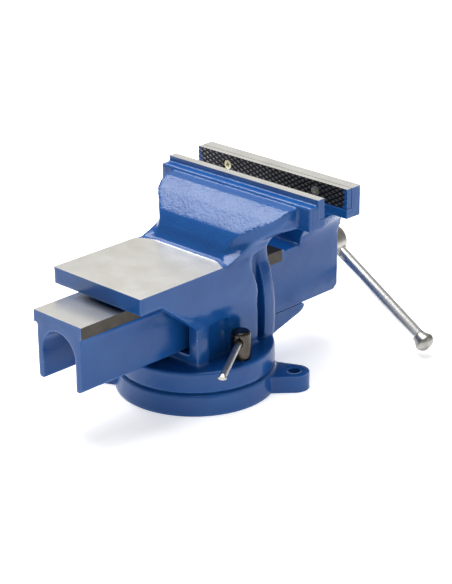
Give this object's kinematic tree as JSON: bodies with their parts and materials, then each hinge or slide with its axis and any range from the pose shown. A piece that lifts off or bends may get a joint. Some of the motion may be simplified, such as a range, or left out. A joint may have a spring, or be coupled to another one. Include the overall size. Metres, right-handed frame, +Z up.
{
  "type": "bench vise",
  "caption": "Cast bench vise with a swivel base, rear anvil, hatched jaw plates, open channel slide beam, lead screw and sliding handle.",
  "frame": {"origin": "on the bench, on the swivel axis, at the middle of the base's underside", "axes": "+Z up along the swivel axis, -Y towards the handle and the user, +Y towards the anvil, +X to the user's right"},
  "size_m": [0.1864, 0.2906, 0.1472],
  "materials": {
    "blue_enamel": "glossy enamel over sand-cast iron, with milled bare top faces",
    "black_plate": "hatched, hardened and blackened steel",
    "yellow_zinc": "yellow zinc plating",
    "machined_steel": "turned steel",
    "zinc_steel": "bright zinc plating",
    "raw_iron": "as cast, machined bore",
    "polished_steel": "polished",
    "satin_steel": "satin turned steel"
  },
  "bodies": {
    "base": {"swivel_base": "blue_enamel"},
    "turret": {"fixed_body": "blue_enamel", "fixed_jaw_plate": "black_plate", "fixed_plate_screw_left": "yellow_zinc", "fixed_plate_screw_right": "yellow_zinc", "lead_nut": "raw_iron", "nut_bolt": "zinc_steel", "nut_bolt_washer": "zinc_steel", "lock_bolt_left": "zinc_steel", "lock_bolt_right": "zinc_steel"},
    "carriage": {"moving_jaw": "blue_enamel", "moving_jaw_plate": "black_plate", "moving_plate_screw_left": "yellow_zinc", "moving_plate_screw_right": "yellow_zinc", "thrust_washer": "zinc_steel"},
    "spindle": {"lead_screw": "machined_steel", "retaining_collar": "machined_steel", "collar_pin": "zinc_steel"},
    "handle": {"handle_bar": "polished_steel", "handle_knob_left": "polished_steel", "handle_knob_right": "polished_steel"},
    "lock_left": {"lock_nut_left": "satin_steel"},
    "lock_right": {"lock_nut_right": "satin_steel"},
    "lock_bar_left_body": {"lock_bar_left": "satin_steel"},
    "lock_bar_right_body": {"lock_bar_right": "satin_steel"}
  },
  "joints": [
    {"name": "swivel", "type": "hinge", "parent": "base", "child": "turret", "pos_m": [0, 0, 0.0175], "axis": [0, 0, 1], "continuous": true},
    {"name": "jaw_slide", "type": "slide", "parent": "turret", "child": "carriage", "axis": [0, -1, 0], "range_m": [-0.024, 0.101]},
    {"name": "screw_turn", "type": "hinge", "parent": "carriage", "child": "spindle", "pos_m": [0, -0.151, 0.069], "axis": [0, -1, 0], "range_deg": [-2155, 9085]},
    {"name": "handle_slide", "type": "slide", "parent": "spindle", "child": "handle", "axis": [0.8554, 0, 0.518], "range_m": [-0.0355, 0.0905]},
    {"name": "lock_turn_left", "type": "hinge", "parent": "turret", "child": "lock_left", "pos_m": [-0.046, 0, 0.0475], "axis": [0, 0, 1], "range_deg": [-30, 145]},
    {"name": "lock_turn_right", "type": "hinge", "parent": "turret", "child": "lock_right", "pos_m": [0.046, 0, 0.0475], "axis": [0, 0, 1], "range_deg": [-145, 30]},
    {"name": "lock_bar_slide_left", "type": "slide", "parent": "lock_left", "child": "lock_bar_left_body", "axis": [-0.5373, 0.8434, 0], "range_m": [-0.0017, 0.0024]},
    {"name": "lock_bar_slide_right", "type": "slide", "parent": "lock_right", "child": "lock_bar_right_body", "axis": [0.5373, 0.8434, 0], "range_m": [-0.0017, 0.0024]}
  ],
  "couplings": [
    {"joint": "jaw_slide", "follows": "screw_turn", "m_per_rad": 0.00063662}
  ]
}
